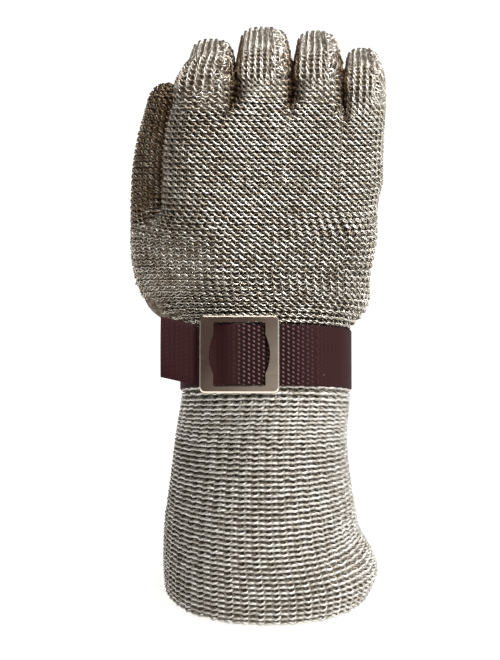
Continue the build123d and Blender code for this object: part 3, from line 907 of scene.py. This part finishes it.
border = (thumb_reach[3] + thumb_reach[4]) / 2
stood_for = (("thumb_base", "thumb_web", "thumb_lower"), ("thumb_crease", "thumb_tip"))
for i, part in enumerate(("base", "tip")):
    chosen = kept & ((thumb_rows < border) if i == 0 else (thumb_rows >= border))[:, None]
    span = (thumb_rows < border + SHADE_LAP) if i == 0 else (thumb_rows >= border - SHADE_LAP)
    blended_part(
        f"thumb_{part}", rings, chosen, thumb_loop, thumb_rows[span], THUMB_SHADE_LIGHT,
        stood_for[i],
    )


# ---- Strap
# Maroon polypropylene webbing, 25 mm wide and woven with a pin-dot face. One length rings the
# wrist and folds round the buckle's bar; the other is lapped on it, and threads the buckle.
WEB_HALF = 12.7
# the weave's dots stand this far apart along the webbing and across it
DOT_ALONG, DOT_ACROSS = 2.1, 1.8
# how much the selvedges thin the webbing at its edges, and how far the tail's cut end curls
SELVEDGE_THINS, TAIL_CURL = 0.35, 0.9
STRAP = leaning(STRAP_SLANT)
STRAP_START = np.array((0, 0, STRAP_Z))

webbing, shader = new_material("woven_maroon_webbing", 0.65)
# floats of weft stand proud as paler dots in slanting rows, on a fine ribbed ground
weave = add_node(webbing, "UVMap", uv_map="weave")
dots = add_node(
    webbing, "TexVoronoi", {"Vector": weave.outputs["UV"], "Scale": 1.0, "Randomness": 0.12},
    voronoi_dimensions="2D",
)
ribs = add_node(
    webbing, "TexWave", {"Vector": weave.outputs["UV"], "Scale": 1.3, "Distortion": 1.5},
    bands_direction="X",
)
proud = add_node(webbing, "MapRange", {
    "Value": dots.outputs["Distance"], "From Min": 0.3, "From Max": 0.14, "To Min": 0.0, "To Max": 1.0,
})
# painted sheen: outside its band the dots fade and the ground is paler
dot_sheen = add_node(webbing, "Attribute", attribute_name="dot_sheen")
floats = add_node(
    webbing, "Math", {0: proud.outputs["Result"], 1: dot_sheen.outputs["Fac"]}, operation="MULTIPLY",
)
ground = add_node(webbing, "MixRGB", {
    "Fac": dot_sheen.outputs["Fac"], "Color1": colour("#2e1517"), "Color2": colour("#180506"),
})
yarn = add_node(webbing, "MixRGB", {
    "Fac": floats.outputs["Value"], "Color1": ground.outputs["Color"], "Color2": colour("#725355"),
})
relief = add_node(
    webbing, "Math", {0: ribs.outputs["Fac"], 1: 0.25, 2: floats.outputs["Value"]},
    operation="MULTIPLY_ADD",
)
raised = add_node(webbing, "Bump", {"Height": relief.outputs["Value"], "Strength": 0.7, "Distance": 0.0003})
webbing.node_tree.links.new(yarn.outputs["Color"], shader.inputs["Base Color"])
webbing.node_tree.links.new(raised.outputs["Normal"], shader.inputs["Normal"])
shader.inputs["Specular IOR Level"].default_value = 0.1


def node_points(node):
    """A frame node's points as (across, depth, height) from the strap's middle."""
    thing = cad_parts[node]
    points = np.array([thing.matrix_world @ v.co for v in thing.data.vertices]) * 1000
    return (points - STRAP_START) @ STRAP.T


def ply_outline(node):
    """The webbing's outline seen on edge, chained from the frame's mesh, in short steps."""
    points = node_points(node)
    edges = {}
    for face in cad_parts[node].data.polygons:
        corners = [tuple(np.round(points[i], 2)) for i in face.vertices]
        if min(c[2] for c in corners) > WEB_HALF - 0.1:
            for a, b in zip(corners, corners[1:] + corners[:1]):
                if (b, a) in edges:
                    del edges[b, a]
                else:
                    edges[a, b] = True
    following = {a: b for a, b in edges}
    start = at = next(iter(following))
    outline = []
    while True:
        to = following[at]
        gap = np.subtract(to[:2], at[:2])
        count = max(1, int(np.hypot(*gap) / 1.2))
        outline.extend(np.array(at[:2]) + gap * k / count for k in range(count))
        at = to
        if at == start:
            return np.array(outline)


def weave_piece(name, grid):
    """Webbing from rows of points across its width; each row goes once round its thickness."""
    across, around = grid.shape[:2]
    index = np.arange(across * around).reshape(across, around)
    nxt = np.roll(index, -1, axis=1)
    faces = np.stack([index[:-1], nxt[:-1], nxt[1:], index[1:]], -1).reshape(-1, 4).tolist()
    caps = [index[0][::-1].tolist(), index[-1].tolist()]
    piece = mesh_piece(name, grid.reshape(-1, 3) @ STRAP + STRAP_START, faces + caps, webbing)
    data = piece.data
    middle = grid[across // 2]
    reach = reach_along(np.vstack([middle, middle[:1]]))
    wide = np.linalg.norm(grid[:, 0] - grid[:1, 0], axis=1)
    layer = data.uv_layers.new(name="weave")
    uv = []
    for row in range(across - 1):
        for i in range(around):
            for r, k in ((row, i), (row, i + 1), (row + 1, i + 1), (row + 1, i)):
                uv.append((reach[k] / DOT_ALONG, wide[r] / DOT_ACROSS + reach[k] / (2 * DOT_ALONG)))
    uv.extend([(0, 0)] * (2 * around))
    layer.data.foreach_set("uv", np.array(uv).ravel())
    # painted sheen: the dots show pale and raised in a band near the buckle, where light grazes them, and
    # fade further round
    x = grid.reshape(-1, 3)[:, 0]
    dot_sheen = 0.05 + 0.95 * round_off(-15, -9, x) * (1 - round_off(6, 24, x))
    data.attributes.new("dot_sheen", "FLOAT", "POINT").data.foreach_set("value", dot_sheen)
    data.validate()
    bpy.ops.object.select_all(action="DESELECT")
    piece.select_set(True)
    bpy.context.view_layer.objects.active = piece
    bpy.ops.object.mode_set(mode="EDIT")
    bpy.ops.mesh.select_all(action="SELECT")
    bpy.ops.mesh.normals_make_consistent(inside=False)
    bpy.ops.object.mode_set(mode="OBJECT")
    bpy.ops.object.shade_smooth_by_angle(angle=radians(38))
    return piece


def selvedge(outline):
    """Rows of the outline from edge to edge, drawn in a little at the rounded selvedges."""
    ahead, behind = np.roll(outline, -1, 0), np.roll(outline, 1, 0)
    way = unit(ahead - behind)
    inward = np.stack([-way[:, 1], way[:, 0]], 1)
    area = (outline[:, 0] * ahead[:, 1] - ahead[:, 0] * outline[:, 1]).sum()
    inward *= np.sign(area)
    rows = []
    edge = np.array((12.3, 12.55, WEB_HALF))
    for w in np.concatenate([-edge[::-1], np.linspace(-11.9, 11.9, 13), edge]):
        drawn = SELVEDGE_THINS * round_off(12.2, 12.75, abs(w))
        rows.append(np.column_stack([outline + inward * drawn, np.full(len(outline), w)]))
    return np.array(rows)


for node in ("strap_loop", "strap_run"):
    piece = weave_piece(node.replace("strap", "webbing"), selvedge(ply_outline(node)))
    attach(piece, "cuff")
    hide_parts(node)

# the free tail, cut square with a hot knife and lifting a little off the loop
corners = np.unique(np.round(node_points("strap_tail"), 2), axis=0)
corners = corners[np.argsort(corners[:, 0])]
tail_ends = []
for end in (corners[-4:], corners[:4]):
    rising = end[end[:, 2].argsort()]
    tail_ends.append([pair[pair[:, 1].argsort()] for pair in (rising[:2], rising[2:])])
tail_ends = np.array(tail_ends)
tail_rows = []
for share in np.concatenate([[0, 0.006, 0.016], np.linspace(0.03, 0.97, 11), [0.984, 0.994, 1]]):
    drawn = SELVEDGE_THINS * round_off(0.46, 0.502, abs(share - 0.5))
    front, back = [], []
    for t in np.linspace(0, 1, 13):
        curl = TAIL_CURL * t * t * (2 * share - 1) ** 2
        near = tail_ends[0] * (1 - t) + tail_ends[1] * t
        face = near[0] * (1 - share) + near[1] * share
        depth = unit(face[1] - face[0])
        front.append(face[0] + depth * (drawn + curl))
        back.append(face[1] + depth * (curl - drawn))
    tail_rows.append(np.array(front + back[::-1]))
tail = weave_piece("webbing_tail", np.array(tail_rows))
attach(tail, "tail")
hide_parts("strap_tail")


# ---- Stitches
# Lockstitches in bonded maroon thread sew down the lap of the webbing, and close its fold round
# the buckle's bar. Each stitch that shows is one long bead of thread.
STITCH_STEP = 3.175
STITCH_SIZE = (0.3, 0.3, 1.1)
thread, shader = new_material("bonded_maroon_thread", 0.9)
shader.inputs["Base Color"].default_value = colour("#2c1215")
bpy.ops.mesh.primitive_uv_sphere_add(segments=8, ring_count=6, radius=1.0)
bead = bpy.context.object
bead_points = np.array([v.co for v in bead.data.vertices])
# sorted, because the sphere's faces come in another order each time
bead_faces = sorted(tuple(p.vertices) for p in bead.data.polygons)
bpy.data.objects.remove(bead, do_unlink=True)
for node in ("lap_stitches", "fold_stitches"):
    spots = node_points(node)
    number = np.round((spots[:, 2] - spots[:, 2].min() - 1.0) / STITCH_STEP).astype(int)
    points, faces = [], []
    for k in range(number.max() + 1):
        middle = (spots[number == k].min(0) + spots[number == k].max(0)) / 2
        faces.extend(tuple(i + k * len(bead_points) for i in face) for face in bead_faces)
        points.append(bead_points * STITCH_SIZE + middle)
    points = np.concatenate(points) @ STRAP + STRAP_START
    piece = mesh_piece(node.replace("stitches", "thread"), points, faces, thread)
    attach(piece, "cuff")
    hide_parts(node)


# ---- Buckle
# A square frame stamped from sheet steel and plated with satin nickel, its window bowed out at
# both sides, with a flat steel bar riveted behind it.
BUCKLE_ROLL = radians(4)
nickel, shader = new_material("satin_nickel_plate", 0.3, 1.0)
# brushed from side to side; painted shade darkens and browns the plate towards its upper left corner
on_plate = add_node(nickel, "TexCoord")
spot = add_node(nickel, "SeparateXYZ", {"Vector": on_plate.outputs["Object"]})
slope = add_node(nickel, "Math", {0: spot.outputs["X"], 1: spot.outputs["Z"]}, operation="SUBTRACT")
plate_shading = add_node(nickel, "MapRange", {
    "Value": slope.outputs["Value"], "From Min": -0.141, "From Max": -0.09,
})
dimmed = add_node(
    nickel, "ValToRGB", {"Fac": plate_shading.outputs["Result"]}, stops=((0, "#7a655c"), (1, "#ecdcca")),
)
# the bevel round the rim is paler than the face
surface = add_node(nickel, "NewGeometry")
plate_front = Vector((
    -sin(BUCKLE_ROLL),
    -cos(BUCKLE_ROLL) * cos(radians(STRAP_SLANT)),
    cos(BUCKLE_ROLL) * sin(radians(STRAP_SLANT)),
))
flatness = add_node(
    nickel, "VectorMath", {0: surface.outputs["Normal"], 1: plate_front}, operation="DOT_PRODUCT",
)
rim = add_node(nickel, "MapRange", {
    "Value": flatness.outputs["Value"], "From Min": 0.97, "From Max": 0.9,
})
pale_bevel = add_node(nickel, "MixRGB", {
    "Fac": rim.outputs["Result"], "Color1": dimmed.outputs["Color"], "Color2": colour("#f6ead8"),
})
nickel.node_tree.links.new(pale_bevel.outputs["Color"], shader.inputs["Base Color"])
stretch = add_node(nickel, "Mapping", {
    "Vector": on_plate.outputs["Object"], "Scale": (200, 3000, 4000),
})
grain = add_node(nickel, "TexNoise", {"Vector": stretch.outputs["Vector"], "Scale": 1.0})
rough = add_node(nickel, "MapRange", {"Value": grain.outputs["Fac"], "To Min": 0.25, "To Max": 0.36})
nickel.node_tree.links.new(rough.outputs["Result"], shader.inputs["Roughness"])

# plain rolled steel, greyer and less bright than the plate
bar_steel, shader = new_material("rolled_bar_steel", 0.4, 1.0)
shader.inputs["Base Color"].default_value = colour("#a8a29a")
for node, metal in (("buckle_frame", nickel), ("buckle_bar", bar_steel)):
    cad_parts[node].data.materials.clear()
    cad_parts[node].data.materials.append(metal)
